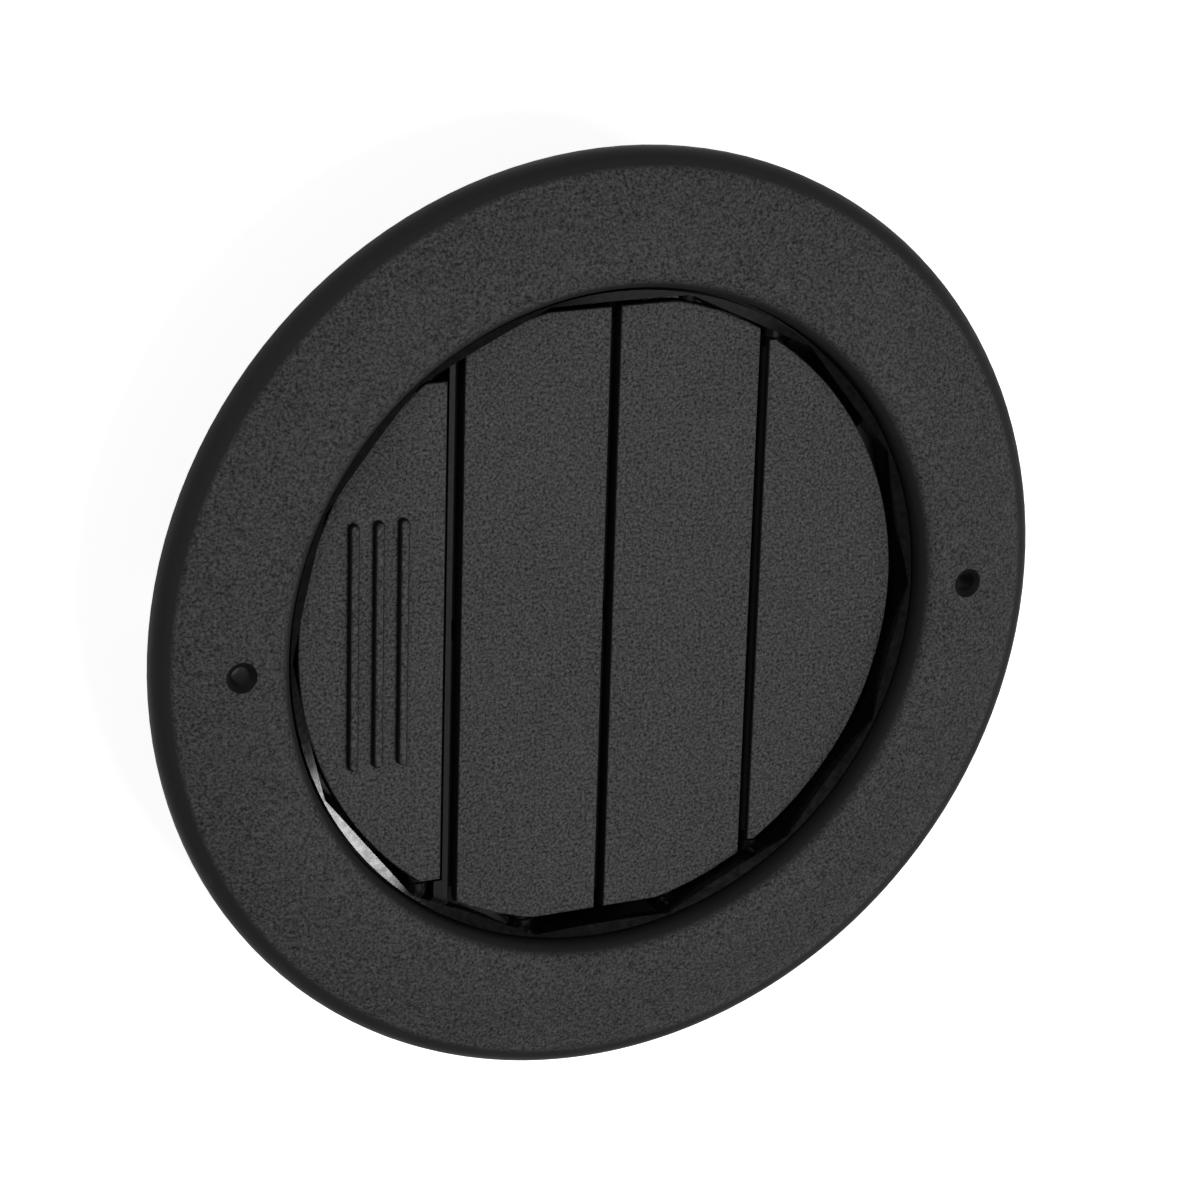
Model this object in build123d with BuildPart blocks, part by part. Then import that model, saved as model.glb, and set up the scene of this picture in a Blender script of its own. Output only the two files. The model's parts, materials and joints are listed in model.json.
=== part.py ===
"""Round headliner air vent: a screw-on trim flange with a turning ring of four linked slats.

Millimetres. The origin is the centre of the flange's back plane, +Z points out of the face into
the cabin, +X runs through the two screw holes and +Y runs along the slats.
"""
import os
from math import asin, cos, degrees, radians, sqrt, tan

from build123d import *

os.makedirs("parts", exist_ok=True)

# Flange and collar
throat_diameter = 107.4
lip_round = 3.0
crown_land = 3.3
dome_width = 15.0
crown_height = 5.4
edge_height = 0.68
edge_round = 2.6
flange_wall = 2.2
collar_wall = 2.0
collar_depth = 24.0
collar_lead = 0.6
collar_root = 3.2
screw_inset = 13.0
screw_hole = 3.0
screw_dish = 4.9
screw_dish_angle = 110.0
screw_boss = 8.4
back_rib_count = 12
back_rib_width = 1.4
back_rib_setback = 0.4
ledge_width = 3.3
ledge_thickness = 1.8

# Turning ring
turn_clearance = 0.2
seat_clearance = 0.15
rotor_wall = 2.0
rotor_facets = 14
rotor_depth = 18.3
rim_recess = 3.8
rim_slope = 20.0
rim_relief_width = 0.35
rim_relief_depth = 2.5
crossbar_width = 0.9
crossbar_depth = 5.0
crossbar_drop = 0.25
crossbar_root = 2.3
root_drop = 0.3
bearing_width = 4.0
bearing_cover = 1.2
bearing_clearance = 0.08
stop_width = 2.0
stop_thickness = 1.5
stop_angle = 30.0
hook_angles = (50, 130, 230, 310)
hook_width = 6.0
hook_arm = 1.5
hook_catch = 1.4
hook_root = 4.0
hook_lead = 2.0

# Slats
slat_recess = 6.3
slat_thickness = 2.0
slat_pitch = 25.66
slat_gap = 1.46
slat_offset = 0.65
slat_edge_round = 0.4
side_clearance = 0.6
end_clearance = 0.35
square_trim = 1.15
crossbar_gap = 0.3
swing_clearance = 0.3
lip_clearance = 0.3
lip_thickness = 1.0
lip_lap = 1.2
lip_root = 2.0
lip_notch = 3.4
pivot_drop = 0.2
pivot_pin = 2.5
pivot_reach = 1.6
spine_diameter = 3.8
grip_pivot_inset = 3.6
end_pivot_inset = 1.3
grip_rib_count = 3
grip_rib_pitch = 4.05
grip_rib_width = 1.6
grip_rib_height = 1.2
grip_rib_length = 40.0
grip_rib_round = 0.6
grip_rib_inset = 8.8

# Link
crank_overhang = 0.4
crank_drop = 9.0
crank_eye = 4.8
crank_thickness = 2.4
crank_root = 6.0
link_pin = 2.5
link_thickness = 2.2
link_height = 2.6
link_eye = 4.6
link_play = 0.2
link_head = 3.3
link_head_length = 1.0
link_head_taper = 25.0

# Flange levels and radii
throat_radius = throat_diameter / 2
collar_radius = throat_radius + collar_wall
crown_radius = throat_radius + lip_round + crown_land
flange_radius = crown_radius + dome_width
skirt_radius = flange_radius - flange_wall
screw_radius = flange_radius - screw_inset
dome_run = dome_width - edge_round
dome_fall = crown_height - edge_height
dome_radius = (dome_run**2 + dome_fall**2 - edge_round**2) / (2 * (dome_fall - edge_round))
dome_centre = crown_height - dome_radius
dome_angle = degrees(asin(dome_run / (dome_radius - edge_round)))
lining_crown = crown_height - flange_wall
root_level = lining_crown - collar_root
lining_radius = dome_radius - flange_wall
lining_angle = degrees(asin((skirt_radius - crown_radius) / lining_radius))
lining_foot = dome_centre + lining_radius * cos(radians(lining_angle))
core_radius = dome_radius - flange_wall / 2
core_edge = flange_radius - flange_wall / 2
core_angle = degrees(asin((core_edge - crown_radius) / core_radius))
core_foot = dome_centre + core_radius * cos(radians(core_angle))
core_crown = crown_height - flange_wall / 2

# Ring levels and radii
rotor_radius = throat_radius - turn_clearance
facet_radius = rotor_radius - rotor_wall
rim_radius = rotor_radius - rim_relief_width
rim_foot = crown_height - rim_recess
rim_top = rim_foot + (rim_radius - facet_radius) * tan(radians(rim_slope))
rotor_bottom = rim_top - rotor_depth
ledge_top = rotor_bottom - seat_clearance
ledge_bottom = ledge_top - ledge_thickness
ledge_radius = throat_radius - ledge_width
hook_outer = ledge_radius - turn_clearance
hook_inner = hook_outer - hook_arm
hook_top = ledge_bottom - seat_clearance

# Slat levels and edges
slat_top = crown_height - slat_recess
slat_bottom = slat_top - slat_thickness
slat_width = slat_pitch - slat_gap
lip_top = slat_bottom - lip_clearance
lip_reach = slat_gap + lip_lap
lip_radius = ledge_radius - swing_clearance
crossbar_lip_reach = slat_gap - lip_clearance
side_radius = facet_radius - side_clearance
end_radius = facet_radius - end_clearance
centre_half = end_radius - square_trim
second_right = slat_offset - slat_gap / 2
second_left = second_right - slat_width
third_left = slat_offset + slat_gap / 2
third_right = third_left + slat_width
fourth_left = third_right + slat_gap
crossbar_right = second_left - slat_gap
crossbar_left = crossbar_right - crossbar_width
first_right = crossbar_left - crossbar_gap

# Pivots and cranks
pivot_level = slat_bottom - pivot_drop
first_pivot = first_right - grip_pivot_inset
second_pivot = (second_left + second_right) / 2
third_pivot = (third_left + third_right) / 2
fourth_pivot = fourth_left + end_pivot_inset
pivots = (first_pivot, second_pivot, third_pivot, fourth_pivot)
first_half = sqrt(side_radius**2 - first_pivot**2)
fourth_half = sqrt(side_radius**2 - fourth_pivot**2)
slat_halves = (first_half, centre_half, centre_half, fourth_half)
crank_reach = slat_width / 2 + crank_overhang
crank_level = pivot_level - crank_drop
crank_places = [(pivot - crank_reach, crank_level) for pivot in pivots]
crank_face = link_thickness / 2 + link_play
bearing_foot = pivot_level - pivot_pin / 2 - bearing_cover

# Trim flange: domed shell, rolled throat, duct collar, ledge, screw bosses and back ribs
with BuildPart() as flange_ring:
    with BuildSketch(Plane.XZ):
        with BuildLine():
            CenterArc((flange_radius - edge_round, edge_height), edge_round, 0, 90 - dome_angle)
            CenterArc((crown_radius, dome_centre), dome_radius, 90 - dome_angle, dome_angle)
            Line((crown_radius, crown_height), (throat_radius + lip_round, crown_height))
            CenterArc((throat_radius + lip_round, crown_height - lip_round), lip_round, 90, 90)
            Polyline(
                (throat_radius, crown_height - lip_round),
                (throat_radius, -collar_depth),
                (collar_radius - collar_lead, -collar_depth),
                (collar_radius, -collar_depth + collar_lead),
                (collar_radius, root_level),
            )
            CenterArc((collar_radius + collar_root, root_level), collar_root, 90, 90)
            Line((collar_radius + collar_root, lining_crown), (crown_radius, lining_crown))
            CenterArc((crown_radius, dome_centre), lining_radius, 90 - lining_angle, lining_angle)
            Polyline(
                (skirt_radius, lining_foot),
                (skirt_radius, 0),
                (flange_radius, 0),
                (flange_radius, edge_height),
            )
        make_face()
    revolve(axis=Axis.Z)
    with BuildSketch(Plane.XZ):
        with BuildLine():
            Polyline(
                (ledge_radius, ledge_bottom),
                (throat_radius + collar_wall / 2, ledge_bottom),
                (throat_radius + collar_wall / 2, ledge_top),
                (ledge_radius, ledge_top),
                close=True,
            )
        make_face()
    revolve(axis=Axis.Z)
    with BuildSketch(Plane.XZ):
        with BuildLine():
            CenterArc((crown_radius, dome_centre), core_radius, 90 - core_angle, core_angle)
            Polyline(
                (crown_radius, core_crown),
                (collar_radius - collar_wall / 2, core_crown),
                (collar_radius - collar_wall / 2, back_rib_setback),
                (core_edge, back_rib_setback),
                (core_edge, core_foot),
            )
        make_face()
    back_rib = extrude(amount=back_rib_width / 2, both=True, mode=Mode.PRIVATE)
    with PolarLocations(0, back_rib_count, start_angle=180 / back_rib_count):
        add(back_rib)
    with BuildSketch():
        with Locations((-screw_radius, 0), (screw_radius, 0)):
            Circle(screw_boss / 2)
    extrude(amount=core_crown)
    screw_face = dome_centre + sqrt(dome_radius**2 - (screw_radius - crown_radius) ** 2)
    with Locations((-screw_radius, 0, screw_face), (screw_radius, 0, screw_face)):
        CounterSinkHole(screw_hole / 2, screw_dish / 2, counter_sink_angle=screw_dish_angle)
flange_ring.part.label = "flange_ring"
export_step(flange_ring.part, "parts/flange_ring.step")

# Turning ring: faceted wall with a sloped rim, slat bearings, crossbar, closing stop and snap hooks
with BuildPart() as rotor_ring:
    for pivot, half in zip(pivots, slat_halves):
        for side in (-1, 1):
            with BuildSketch(Plane.XZ.offset(side * (half + swing_clearance))):
                with Locations((pivot, pivot_level)):
                    Circle(bearing_width / 2)
                    Rectangle(bearing_width, pivot_level - bearing_foot, align=(Align.CENTER, Align.MAX))
            extrude(amount=side * rotor_radius)
    with BuildSketch(Plane.XY.offset(slat_top - root_drop)):
        with Locations((crossbar_right, -first_half - swing_clearance)):
            Rectangle(crossbar_root, rotor_radius, align=Align.MAX)
    extrude(amount=-crossbar_depth)
    with BuildSketch(Plane.XY.offset(slat_top - crossbar_drop)):
        with Locations((crossbar_right, 0)):
            Rectangle(crossbar_width, 2 * rotor_radius, align=(Align.MAX, Align.CENTER))
    extrude(amount=-crossbar_depth)
    with BuildSketch(Plane.XY.offset(rotor_bottom)):
        Circle(rotor_radius)
    extrude(amount=rotor_depth, mode=Mode.INTERSECT)
    with BuildSketch(Plane.XY.offset(rotor_bottom)):
        Circle(rotor_radius)
        RegularPolygon(facet_radius, rotor_facets, major_radius=False, mode=Mode.SUBTRACT)
    extrude(amount=rotor_depth - rim_relief_depth)
    with BuildSketch(Plane.XY.offset(rim_top)):
        Circle(rim_radius)
        RegularPolygon(facet_radius, rotor_facets, major_radius=False, mode=Mode.SUBTRACT)
    extrude(amount=-rim_relief_depth)
    with BuildSketch(Plane.XZ):
        with Locations((facet_radius - stop_width, slat_bottom - swing_clearance)):
            Rectangle(stop_width + rotor_wall, stop_thickness, align=(Align.MIN, Align.MAX))
    closing_stop = revolve(axis=Axis.Z, revolution_arc=2 * stop_angle, mode=Mode.PRIVATE)
    add(closing_stop.rotate(Axis.Z, -stop_angle))
    with BuildSketch(Plane.XZ):
        with BuildLine():
            Polyline(
                (hook_inner, rotor_bottom + hook_root),
                (facet_radius + rotor_wall / 2, rotor_bottom + hook_root),
                (facet_radius + rotor_wall / 2, rotor_bottom),
                (hook_outer, rotor_bottom),
                (hook_outer, hook_top),
                (ledge_radius + hook_catch, hook_top),
                (hook_outer, hook_top - hook_lead),
                (hook_inner, hook_top - hook_lead),
                close=True,
            )
        make_face()
    hook = extrude(amount=hook_width / 2, both=True, mode=Mode.PRIVATE)
    for angle in hook_angles:
        add(hook.rotate(Axis.Z, angle))
    with BuildSketch(Plane.XZ):
        with BuildLine():
            Polyline(
                (0, rim_foot),
                (facet_radius, rim_foot),
                (rim_radius, rim_top),
                (0, rim_top),
                close=True,
            )
        make_face()
    revolve(axis=Axis.Z, mode=Mode.SUBTRACT)
    with BuildSketch(Plane.XZ):
        with Locations(*[(pivot, pivot_level) for pivot in pivots]):
            Circle(pivot_pin / 2 + bearing_clearance)
    extrude(amount=rotor_radius, both=True, mode=Mode.SUBTRACT)
rotor_ring.part.label = "rotor_ring"
export_step(rotor_ring.part, "parts/rotor_ring.step")


def slat_plate(left, right, radius, half, flat_left, flat_right):
    """Round-ended plate between two straight edges, cut square over the flat stretch."""
    with BuildSketch(Plane.XY.offset(slat_bottom)) as plan:
        Circle(radius)
        with Locations((left, 0)):
            Rectangle(right - left, 2 * radius, align=(Align.MIN, Align.CENTER), mode=Mode.INTERSECT)
        with Locations((flat_left, half), (flat_left, -half - radius)):
            Rectangle(flat_right - flat_left, radius, align=Align.MIN, mode=Mode.SUBTRACT)
    extrude(plan.sketch, amount=slat_thickness)


def slat_pivot(pivot, radius, half):
    """Spine under the plate, with a pin at each end that turns in the ring."""
    spine_half = sqrt(radius**2 - (abs(pivot) + spine_diameter / 2) ** 2)
    with BuildSketch(Plane.XZ) as spine:
        with Locations((pivot, pivot_level)):
            Circle(spine_diameter / 2)
    extrude(spine.sketch, amount=spine_half, both=True)
    with BuildSketch(Plane.XZ) as pin:
        with Locations((pivot, pivot_level)):
            Circle(pivot_pin / 2)
    extrude(pin.sketch, amount=half + pivot_reach, both=True)


def slat_lip(pivot, left, reach):
    """Sealing lip under the left edge, notched for the link bar and short enough to swing past the ledge."""
    widest = max(abs(left - reach), abs(left + lip_root), abs(pivot) + lip_root)
    lip_half = sqrt(lip_radius**2 - widest**2)
    with BuildSketch(Plane.XY.offset(lip_top)) as lip:
        with Locations((left - reach, 0)):
            Rectangle(reach + lip_root, 2 * lip_half, align=(Align.MIN, Align.CENTER))
            Rectangle(reach, lip_notch, align=(Align.MIN, Align.CENTER), mode=Mode.SUBTRACT)
    extrude(lip.sketch, amount=-lip_thickness)
    with BuildSketch(Plane.XY.offset(lip_top)) as web:
        with Locations((left, 0)):
            Rectangle(lip_root, 2 * lip_half, align=(Align.MIN, Align.CENTER))
    extrude(web.sketch, amount=lip_clearance)


def slat_crank(pivot, root):
    """Crank arm from the root points to the eye, with a headed pin for the link bar."""
    eye = (pivot - crank_reach, crank_level)
    with BuildSketch(Plane.XZ.offset(-crank_face)) as arm:
        with Locations(eye):
            Circle(crank_eye / 2)
        with Locations(*root):
            Circle(pivot_pin / 2)
        make_hull()
    extrude(arm.sketch, amount=-crank_thickness)
    with BuildSketch(Plane.XZ.offset(-crank_face)) as pin:
        with Locations(eye):
            Circle(link_pin / 2)
    extrude(pin.sketch, amount=2 * crank_face)
    with BuildSketch(Plane.XZ.offset(crank_face)) as head:
        with Locations(eye):
            Circle(link_head / 2)
    extrude(head.sketch, amount=link_head_length, taper=link_head_taper)


def plate_root(left):
    """Root of a crank arm along the underside of the plate."""
    level = slat_bottom - pivot_pin / 2 + pivot_drop
    return ((left, level), (left + crank_root, level))


# Grip slat with three finger ribs
with BuildPart() as grip_slat:
    slat_plate(-side_radius, first_right, side_radius, first_half, first_pivot, first_right)
    fillet(grip_slat.faces().sort_by(Axis.Z)[-1].edges(), slat_edge_round)
    slat_pivot(first_pivot, side_radius, first_half)
    slat_crank(first_pivot, plate_root(first_pivot - crank_reach + crank_eye / 2))
    rib_centre = -side_radius + grip_rib_inset + grip_rib_pitch * (grip_rib_count - 1) / 2
    with BuildSketch(Plane.XY.offset(slat_top - slat_edge_round)):
        with Locations((rib_centre, 0)):
            with GridLocations(grip_rib_pitch, 0, grip_rib_count, 1):
                SlotOverall(grip_rib_length, grip_rib_width, rotation=90)
    extrude(amount=grip_rib_height + slat_edge_round)
    rib_tops = grip_slat.faces().filter_by(Axis.Z).group_by(Axis.Z)[-1]
    fillet(rib_tops.edges(), grip_rib_round)
grip_slat.part.label = "grip_slat"
export_step(grip_slat.part, "parts/grip_slat.step")

# Slat beside the crossbar
with BuildPart() as second_slat:
    slat_plate(second_left, second_right, end_radius, centre_half, second_pivot, second_right)
    fillet(second_slat.faces().sort_by(Axis.Z)[-1].edges(), slat_edge_round)
    slat_pivot(second_pivot, end_radius, centre_half)
    slat_lip(second_pivot, second_left, crossbar_lip_reach)
    slat_crank(second_pivot, plate_root(second_left + pivot_pin / 2))
second_slat.part.label = "second_slat"
export_step(second_slat.part, "parts/second_slat.step")

# Slat right of the centre
with BuildPart() as third_slat:
    slat_plate(third_left, third_right, end_radius, centre_half, third_left, third_pivot)
    fillet(third_slat.faces().sort_by(Axis.Z)[-1].edges(), slat_edge_round)
    slat_pivot(third_pivot, end_radius, centre_half)
    slat_lip(third_pivot, third_left, lip_reach)
    slat_crank(third_pivot, plate_root(third_left + pivot_pin / 2))
third_slat.part.label = "third_slat"
export_step(third_slat.part, "parts/third_slat.step")

# Slat at the right edge, with a long crank arm from its spine
with BuildPart() as fourth_slat:
    slat_plate(fourth_left, side_radius, side_radius, fourth_half, fourth_left, fourth_pivot)
    fillet(fourth_slat.faces().sort_by(Axis.Z)[-1].edges(), slat_edge_round)
    slat_pivot(fourth_pivot, side_radius, fourth_half)
    slat_lip(fourth_pivot, fourth_left, lip_reach)
    slat_crank(fourth_pivot, ((fourth_pivot, pivot_level - pivot_pin / 2),))
fourth_slat.part.label = "fourth_slat"
export_step(fourth_slat.part, "parts/fourth_slat.step")

# Link bar that ties the four cranks together
with BuildPart() as link_bar:
    with BuildSketch(Plane.XZ):
        bar_length = crank_places[-1][0] - crank_places[0][0]
        with Locations(crank_places[0]):
            Rectangle(bar_length, link_height, align=(Align.MIN, Align.CENTER))
        with Locations(*crank_places):
            Circle(link_eye / 2)
            Circle(link_pin / 2 + bearing_clearance, mode=Mode.SUBTRACT)
    extrude(amount=link_thickness / 2, both=True)
link_bar.part.label = "link_bar"
export_step(link_bar.part, "parts/link_bar.step")
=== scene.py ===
"""Looks, light and camera for the round headliner air vent. Metres, in the part's own frame."""
import json
from math import radians

import bpy
from mathutils import Matrix, Vector


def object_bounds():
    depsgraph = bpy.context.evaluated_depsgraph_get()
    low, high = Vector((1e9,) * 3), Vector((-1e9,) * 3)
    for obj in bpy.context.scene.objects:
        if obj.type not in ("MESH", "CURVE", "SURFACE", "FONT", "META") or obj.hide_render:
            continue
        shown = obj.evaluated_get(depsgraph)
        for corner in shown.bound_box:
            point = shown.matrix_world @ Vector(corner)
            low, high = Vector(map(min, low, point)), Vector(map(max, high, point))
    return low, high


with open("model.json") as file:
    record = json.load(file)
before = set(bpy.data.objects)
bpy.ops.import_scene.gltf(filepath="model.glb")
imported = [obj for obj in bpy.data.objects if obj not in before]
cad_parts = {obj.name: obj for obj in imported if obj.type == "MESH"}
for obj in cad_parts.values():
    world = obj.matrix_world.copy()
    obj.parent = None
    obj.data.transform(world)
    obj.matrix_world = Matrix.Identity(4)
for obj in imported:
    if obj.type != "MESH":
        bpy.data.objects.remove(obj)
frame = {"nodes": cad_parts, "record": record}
cad_low, cad_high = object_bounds()
nodes = frame["nodes"]
mount_dims = {mount["name"]: mount["dims"] for mount in frame["record"]["mounts"]}

# Camera fitted to the photograph's square frame, turned in degrees
CAMERA_PLACE = (-0.232857, 0.195124, 0.489525)
CAMERA_TURN = (-20.288, -24.736, 1.800)
LENS = 110.657
SENSOR = 36.0

# Noises: scale, detail and roughness
GRAIN_NOISE = (2100.0, 3.0, 0.75)
CLOUD_NOISE = (60.0, 2.0, 0.5)
WEAR_NOISE = (900.0, 3.0, 0.6)
RIPPLE_NOISE = (140.0, 1.0, 0.4)

# Bumps: strength and depth
GRAIN_BUMP = (0.8, 0.00009)
RIPPLE_BUMP = (0.12, 0.0002)

# Bands of a noise in which a colour or a roughness changes
GRAIN_BAND = (0.34, 0.78)
CLOUD_BAND = (0.3, 0.7)
TINT_BAND = (0.3, 0.7)
WEAR_BAND = (0.35, 0.75)

# Grained plastic of the flange and the slats; its dark colour is also the painted shade of the screw
# holes and the smooth places
GRAIN_DARK_AND_PAINTED_SHADE = (0.004, 0.004, 0.0041, 1)
FLANGE_LIGHT = (0.104, 0.104, 0.106, 1)
SLAT_LIGHT = (0.118, 0.118, 0.120, 1)
GRAIN_ROUGHNESS = (0.56, 0.66)
GRAIN_SPECULAR = 0.1

# Where the grain ends and painted shade begins: lowest levels, outer edge, steepness as the normal's
# upright part, and the screw dish, painted black as shade
FLANGE_LOWEST = -0.0005
SLAT_LOWEST = -0.0017
LOWEST_BLEND = 0.0002
EDGE_WIDTH = 0.0023
EDGE_BLEND = 0.0008
STEEP_NORMAL = 0.70
LEVEL_NORMAL = 0.93
HOLE_SHADE_RADIUS = 0.00245
HOLE_SHADE_BLEND = 0.0002

# Grain value that gives the smooth places their tone, set darker than the grain as painted shade on the
# outer edge, steep walls and parts below the face
FLANGE_SMOOTH_AND_SHADE = 0.388
SLAT_SMOOTH_AND_SHADE = 0.355

# Black plastic of the ring and the link bar
BLACK_DARK = (0.002, 0.002, 0.002, 1)
BLACK_LIGHT = (0.006, 0.006, 0.0063, 1)
GLOSS_ROUGHNESS = (0.10, 0.17)
GLOSS_SPECULAR = 0.28
SATIN_ROUGHNESS = (0.42, 0.52)
SATIN_SPECULAR = 0.1
FLAT_TOP_NORMAL = 0.955

# Shading of the solids
SHARP_ANGLE = 28.0
WELD_DISTANCE = 1e-6

# Stage
FLOOR_SIZE = 8.0
FLOOR_COLOUR = (0.9, 0.9, 0.9, 1)
BACKDROP_RADIUS = 3.6
BACKDROP_HEIGHT = 0.9
BACKDROP_SIDES = 96
COLLAR_INSET = 0.001
DARK_BLEND = 0.0002
GLOW_START = 0.2
GLOW_END = 0.8
GLOW_NEAR = 0.77
GLOW_FAR = 0.92

# Light; a lamp has its direction from the vent, the direction of its width, width, height and watts
WORLD_COLOUR = (1.0, 1.0, 1.0, 1)
WORLD_STRENGTH = 0.10
LAMP_DISTANCE = 1.2
OVERHEAD = ((0.28, -0.18, 0.943), (1, 0, 0), 0.6, 0.6, 9.0)
FILL = ((-0.587, 0.492, 0.643), (0, 0, 1), 0.6, 0.6, 3.5)
SIDE_STRIP = ((0.754, -0.123, 0.645), (-0.096, 0.234, 0.174), 0.31, 0.06, 1.5)
FRONT_STRIP = ((0.35, -0.736, 0.579), (-0.187, 0.0, 0.128), 0.42, 0.072, 0.06)


def empty_material(name):
    """Material whose node tree holds only its output."""
    material = bpy.data.materials.new(name)
    material.use_nodes = True
    tree = material.node_tree
    tree.nodes.clear()
    output = tree.nodes.new("ShaderNodeOutputMaterial")
    return material, tree, output


def plastic(name, specular):
    """Material with a principled shader of one specular level and a texture coordinate node."""
    material, tree, output = empty_material(name)
    shader = tree.nodes.new("ShaderNodeBsdfPrincipled")
    shader.inputs["Specular IOR Level"].default_value = specular
    place = tree.nodes.new("ShaderNodeTexCoord")
    tree.links.new(shader.outputs["BSDF"], output.inputs["Surface"])
    return material, tree, shader, place


def noise(tree, place, scale, detail, roughness):
    """Noise texture in the part's own coordinates."""
    texture = tree.nodes.new("ShaderNodeTexNoise")
    texture.inputs["Scale"].default_value = scale
    texture.inputs["Detail"].default_value = detail
    texture.inputs["Roughness"].default_value = roughness
    tree.links.new(place.outputs["Object"], texture.inputs["Vector"])
    return texture.outputs["Fac"]


def colour_ramp(tree, factor, band, first, last):
    """Colour that goes from the first to the last as the factor crosses a band."""
    node = tree.nodes.new("ShaderNodeValToRGB")
    start, end = node.color_ramp.elements
    start.position, end.position = band
    start.color = first
    end.color = last
    tree.links.new(factor, node.inputs["Fac"])
    return node.outputs["Color"]


def grey_ramp(tree, factor, band, levels):
    """Grey that goes from the first level to the last as the factor crosses a band."""
    first, last = ((level, level, level, 1) for level in levels)
    return colour_ramp(tree, factor, band, first, last)


def bump(tree, height, strength, depth):
    """Bump normal from a height texture."""
    node = tree.nodes.new("ShaderNodeBump")
    node.inputs["Strength"].default_value = strength
    node.inputs["Distance"].default_value = depth
    tree.links.new(height, node.inputs["Height"])
    return node.outputs["Normal"]


def rise(tree, value, low, high, first=0.0, last=1.0):
    """Value that goes from the first to the last as another goes from low to high."""
    node = tree.nodes.new("ShaderNodeMapRange")
    node.inputs["From Min"].default_value = low
    node.inputs["From Max"].default_value = high
    node.inputs["To Min"].default_value = first
    node.inputs["To Max"].default_value = last
    tree.links.new(value, node.inputs["Value"])
    return node.outputs["Result"]


def combine(tree, operation, first, second):
    """Two values put together by a math operation."""
    node = tree.nodes.new("ShaderNodeMath")
    node.operation = operation
    tree.links.new(first, node.inputs[0])
    tree.links.new(second, node.inputs[1])
    return node.outputs["Value"]


def blend(tree, factor, first, second):
    """Value that goes from a fixed level to another value as the factor rises."""
    node = tree.nodes.new("ShaderNodeMix")
    node.inputs["A"].default_value = first
    tree.links.new(factor, node.inputs["Factor"])
    tree.links.new(second, node.inputs["B"])
    return node.outputs["Result"]


def upright(tree, place, coordinate):
    """Upright part of a place or a normal."""
    node = tree.nodes.new("ShaderNodeSeparateXYZ")
    tree.links.new(place.outputs[coordinate], node.inputs["Vector"])
    return node.outputs["Z"]


def vector_step(tree, operation, vector, operand=(0, 0, 0)):
    """Outputs of one vector operation, with a fixed second vector where it takes one."""
    node = tree.nodes.new("ShaderNodeVectorMath")
    node.operation = operation
    node.inputs[1].default_value = operand
    tree.links.new(vector, node.inputs[0])
    return node.outputs


def reach(tree, place, centre):
    """Distance from an upright axis, with the part's two halves folded onto each other."""
    folded = vector_step(tree, "ABSOLUTE", place.outputs["Object"])["Vector"]
    shifted = vector_step(tree, "SUBTRACT", folded, centre)["Vector"]
    level = vector_step(tree, "MULTIPLY", shifted, (1, 1, 0))["Vector"]
    return vector_step(tree, "LENGTH", level)["Value"]


def grained(tree, place, lowest):
    """Mask of the grained face: above its lowest level, not steep and inside the smooth outer edge;
    outside it the smooth places are painted darker as shade.
    """
    above = rise(tree, upright(tree, place, "Object"), lowest, lowest + LOWEST_BLEND)
    level = rise(tree, upright(tree, place, "Normal"), STEEP_NORMAL, LEVEL_NORMAL)
    edge_start = cad_high.x - EDGE_WIDTH
    inside = rise(tree, reach(tree, place, (0, 0, 0)), edge_start, edge_start - EDGE_BLEND)
    return combine(tree, "MULTIPLY", combine(tree, "MULTIPLY", above, level), inside)


def spark_grain(name, light, lowest, smooth):
    """Charcoal plastic, spark-grained on its face, smooth and painted darker as shade elsewhere, and
    painted black as shade in the screw holes.
    """
    material, tree, shader, place = plastic(name, GRAIN_SPECULAR)
    screw_axis = (mount_dims["screw_holes"]["spacing_x_mm"] / 2000, 0, 0)
    # Painted shade: inside the screw dish and bore the colour is set to the grain's darkest, as the
    # dark of the holes
    clear = rise(tree, reach(tree, place, screw_axis), HOLE_SHADE_RADIUS - HOLE_SHADE_BLEND, HOLE_SHADE_RADIUS)
    texture = noise(tree, place, *GRAIN_NOISE)
    # Painted shade: the smooth places take a level darker than the grain's mean, so edges, steep walls
    # and parts below the face read as shaded
    grain = combine(tree, "MULTIPLY", blend(tree, grained(tree, place, lowest), smooth, texture), clear)
    cloud = noise(tree, place, *CLOUD_NOISE)
    colour = colour_ramp(tree, grain, GRAIN_BAND, GRAIN_DARK_AND_PAINTED_SHADE, light)
    roughness = grey_ramp(tree, cloud, CLOUD_BAND, GRAIN_ROUGHNESS)
    tree.links.new(colour, shader.inputs["Base Color"])
    tree.links.new(roughness, shader.inputs["Roughness"])
    tree.links.new(bump(tree, grain, *GRAIN_BUMP), shader.inputs["Normal"])
    return material


def smooth_black(name, roughness_levels, specular):
    """Black plastic with a faint ripple and fine wear."""
    material, tree, shader, place = plastic(name, specular)
    ripple = noise(tree, place, *RIPPLE_NOISE)
    wear = noise(tree, place, *WEAR_NOISE)
    colour = colour_ramp(tree, wear, TINT_BAND, BLACK_DARK, BLACK_LIGHT)
    roughness = grey_ramp(tree, wear, WEAR_BAND, roughness_levels)
    tree.links.new(colour, shader.inputs["Base Color"])
    tree.links.new(roughness, shader.inputs["Roughness"])
    tree.links.new(bump(tree, ripple, *RIPPLE_BUMP), shader.inputs["Normal"])
    return material


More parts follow.
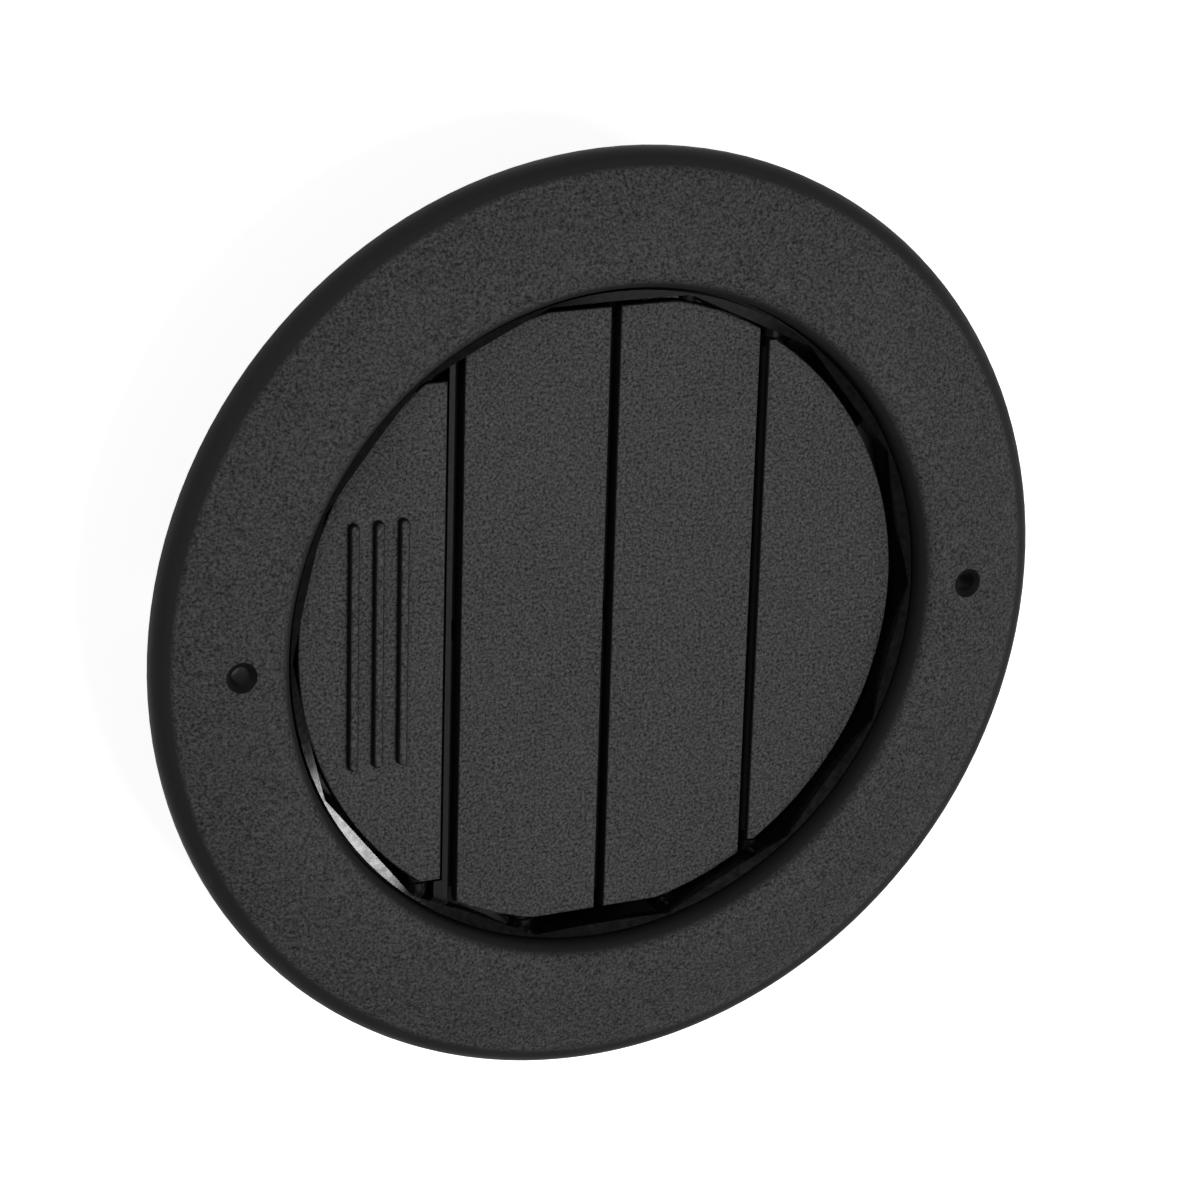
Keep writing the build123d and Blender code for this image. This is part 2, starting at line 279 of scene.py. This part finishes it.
def dress(node, material):
    """Gives a solid its material and smooth shading, with its real edges kept sharp."""
    mesh = node.data
    mesh.materials.clear()
    mesh.materials.append(material)
    mesh.polygons.foreach_set("use_smooth", [True] * len(mesh.polygons))
    weld = node.modifiers.new("weld", "WELD")
    weld.merge_threshold = WELD_DISTANCE
    edges = node.modifiers.new("edges", "EDGE_SPLIT")
    edges.split_angle = radians(SHARP_ANGLE)


def dress_tops(node, material):
    """Gives a dressed solid's flat tops a second material."""
    mesh = node.data
    mesh.materials.append(material)
    for polygon in mesh.polygons:
        if polygon.normal.z > FLAT_TOP_NORMAL:
            polygon.material_index = 1


def white_stage(name, dark_radius):
    """Pale matt surface that camera, gloss and glass see as white, but not inside the vent's collar."""
    material, tree, output = empty_material(name)
    matt = tree.nodes.new("ShaderNodeBsdfDiffuse")
    matt.inputs["Color"].default_value = FLOOR_COLOUR
    rays = tree.nodes.new("ShaderNodeLightPath").outputs
    direct = combine(tree, "MAXIMUM", rays["Is Camera Ray"], rays["Is Glossy Ray"])
    seen = combine(tree, "MAXIMUM", direct, rays["Is Transmission Ray"])
    place = tree.nodes.new("ShaderNodeTexCoord")
    distance = vector_step(tree, "LENGTH", place.outputs["Object"])["Value"]
    outside = rise(tree, distance, dark_radius, dark_radius + DARK_BLEND)
    level = rise(tree, distance, GLOW_START, GLOW_END, GLOW_NEAR, GLOW_FAR)
    shown = combine(tree, "MULTIPLY", seen, outside)
    glow = tree.nodes.new("ShaderNodeEmission")
    tree.links.new(combine(tree, "MULTIPLY", shown, level), glow.inputs["Strength"])
    both = tree.nodes.new("ShaderNodeAddShader")
    tree.links.new(matt.outputs["BSDF"], both.inputs[0])
    tree.links.new(glow.outputs["Emission"], both.inputs[1])
    tree.links.new(both.outputs["Shader"], output.inputs["Surface"])
    return material


def softbox(name, direction, along, width, height, watts):
    """Area lamp that stands off in a direction, points at the vent and has its width along another."""
    lamp = bpy.data.lights.new(name, "AREA")
    lamp.shape = "ELLIPSE"
    lamp.size = width
    lamp.size_y = height
    lamp.energy = watts
    lamp_object = bpy.data.objects.new(name, lamp)
    towards = Vector(direction).normalized()
    up = towards.cross(Vector(along)).normalized()
    across = up.cross(towards)
    lamp_object.rotation_euler = Matrix((across, up, towards)).transposed().to_euler()
    lamp_object.location = towards * LAMP_DISTANCE
    bpy.context.collection.objects.link(lamp_object)


# Plastics on the solids
flange_plastic = spark_grain("flange_plastic", FLANGE_LIGHT, FLANGE_LOWEST, FLANGE_SMOOTH_AND_SHADE)
slat_plastic = spark_grain("slat_plastic", SLAT_LIGHT, SLAT_LOWEST, SLAT_SMOOTH_AND_SHADE)
ring_gloss = smooth_black("ring_gloss", GLOSS_ROUGHNESS, GLOSS_SPECULAR)
ring_satin = smooth_black("ring_satin", SATIN_ROUGHNESS, SATIN_SPECULAR)
dress(nodes["flange_ring"], flange_plastic)
for name in ("grip_slat", "second_slat", "third_slat", "fourth_slat"):
    dress(nodes[name], slat_plastic)
for name in ("rotor_ring", "link_bar"):
    dress(nodes[name], ring_gloss)
    dress_tops(nodes[name], ring_satin)

# Floor and backdrop
stage_white = white_stage("stage_white", mount_dims["duct_collar"]["r_mm"] / 1000 - COLLAR_INSET)
bpy.ops.mesh.primitive_plane_add(size=FLOOR_SIZE, location=(0, 0, cad_low.z))
floor = bpy.context.object
floor.name = "floor"
floor.data.materials.append(stage_white)
bpy.ops.mesh.primitive_cylinder_add(
    vertices=BACKDROP_SIDES, radius=BACKDROP_RADIUS, depth=BACKDROP_HEIGHT, end_fill_type="NOTHING",
    location=(0, 0, cad_low.z + BACKDROP_HEIGHT / 2),
)
backdrop = bpy.context.object
backdrop.name = "backdrop"
backdrop.data.materials.append(stage_white)

# Lamps and world
softbox("overhead", *OVERHEAD)
softbox("fill", *FILL)
softbox("side_strip", *SIDE_STRIP)
softbox("front_strip", *FRONT_STRIP)
world = bpy.data.worlds.new("studio")
world.use_nodes = True
background = world.node_tree.nodes["Background"]
background.inputs["Color"].default_value = WORLD_COLOUR
background.inputs["Strength"].default_value = WORLD_STRENGTH
bpy.context.scene.world = world
bpy.context.scene.view_settings.view_transform = "Standard"

# Camera
camera_data = bpy.data.cameras.new("camera")
camera_data.sensor_fit = "HORIZONTAL"
camera_data.sensor_width = SENSOR
camera_data.lens = LENS
camera = bpy.data.objects.new("camera", camera_data)
camera.location = CAMERA_PLACE
camera.rotation_euler = [radians(angle) for angle in CAMERA_TURN]
bpy.context.collection.objects.link(camera)
bpy.context.scene.camera = camera
